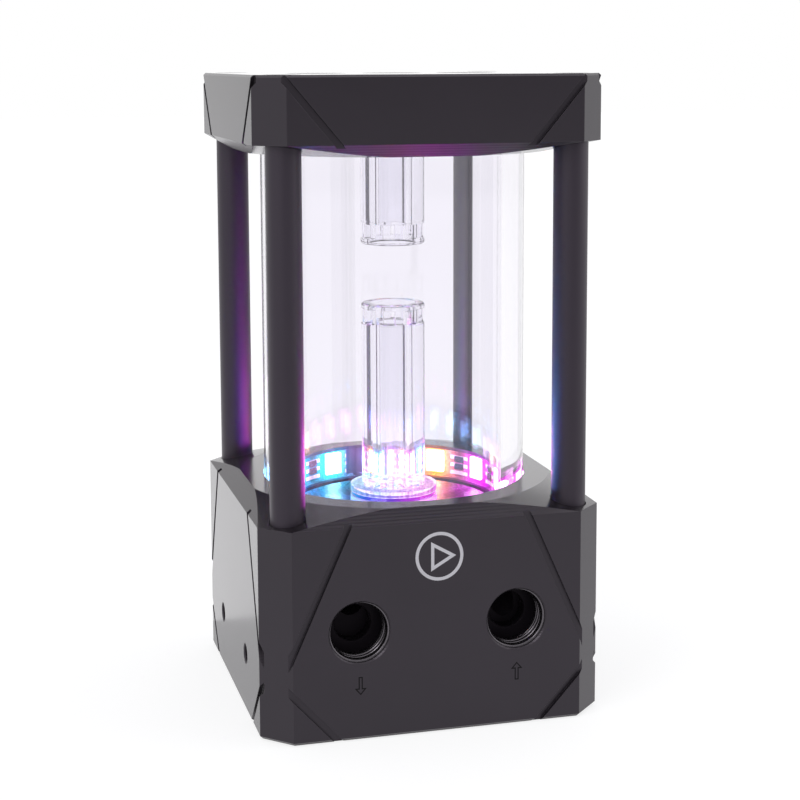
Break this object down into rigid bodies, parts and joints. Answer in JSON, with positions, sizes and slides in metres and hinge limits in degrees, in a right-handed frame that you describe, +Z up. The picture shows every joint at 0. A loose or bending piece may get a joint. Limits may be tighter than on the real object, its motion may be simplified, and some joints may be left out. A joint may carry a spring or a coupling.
{
  "type": "coolant pump reservoir",
  "caption": "Square pump base and lid joined by corner posts round a clear reservoir tube with inner pipes and a light ring; threaded hose ports in front and on top.",
  "frame": {"origin": "centre of the underside of the base block", "axes": "+Z up along the tube, -Y out of the face with the two hose ports, +X to the right seen from that face"},
  "size_m": [0.076, 0.076, 0.1405],
  "materials": {
    "black_acetal": "satin machined",
    "black_post": "satin black anodised",
    "black_steel": "black oxide",
    "clear_glass": "clear polished",
    "clear_acrylic": "clear polished",
    "seal_rubber": "matt",
    "strip_board": "satin",
    "lamp_white": "gloss",
    "chip_black": "matt",
    "motor_plastic": "satin moulded",
    "core_steel": "laminated",
    "copper_wire": "enamelled copper",
    "stainless": "brushed",
    "bearing_ceramic": "polished",
    "bearing_carbon": "satin",
    "magnet_ferrite": "matt",
    "impeller_plastic": "satin moulded",
    "circuit_board": "solder mask",
    "dial_red": "satin moulded",
    "ring_aluminium": "anodised grey"
  },
  "bodies": {
    "reservoir": {"base_block": "black_acetal", "lid_block": "black_acetal", "post_front_left": "black_post", "post_front_right": "black_post", "post_back_left": "black_post", "post_back_right": "black_post", "upper_post_screws": "black_steel", "lower_post_screws": "black_steel", "glass_tube": "clear_glass", "lower_tube_seal": "seal_rubber", "upper_tube_seal": "seal_rubber", "riser_pipe": "clear_acrylic", "riser_seat": "clear_acrylic", "riser_seal": "seal_rubber", "drop_pipe": "clear_acrylic", "drop_pipe_seal": "seal_rubber", "led_strip": "strip_board", "led_packages": "lamp_white", "strip_resistors": "chip_black", "motor_housing": "motor_plastic", "pump_seal": "seal_rubber", "stator_core": "core_steel", "stator_coils": "copper_wire", "separator_can": "stainless", "bearing_post": "stainless", "bearing_ball": "bearing_ceramic", "control_board": "circuit_board", "board_parts": "chip_black", "motor_cover": "motor_plastic", "clamp_ring": "ring_aluminium", "clamp_screws": "stainless", "cable_grommet": "seal_rubber"},
    "rotor": {"bearing_cup": "bearing_carbon", "rotor_magnet": "magnet_ferrite", "impeller": "impeller_plastic", "impeller_shroud": "impeller_plastic"},
    "dial": {"speed_dial": "dial_red"}
  },
  "joints": [
    {"name": "rotor_spin", "type": "hinge", "parent": "reservoir", "child": "rotor", "pos_m": [0, 0, 0.0276], "axis": [0, 0, 1], "continuous": true},
    {"name": "dial_turn", "type": "hinge", "parent": "reservoir", "child": "dial", "pos_m": [0.012, 0, 0.0022], "axis": [0, 0, -1], "range_deg": [0, 220]}
  ]
}
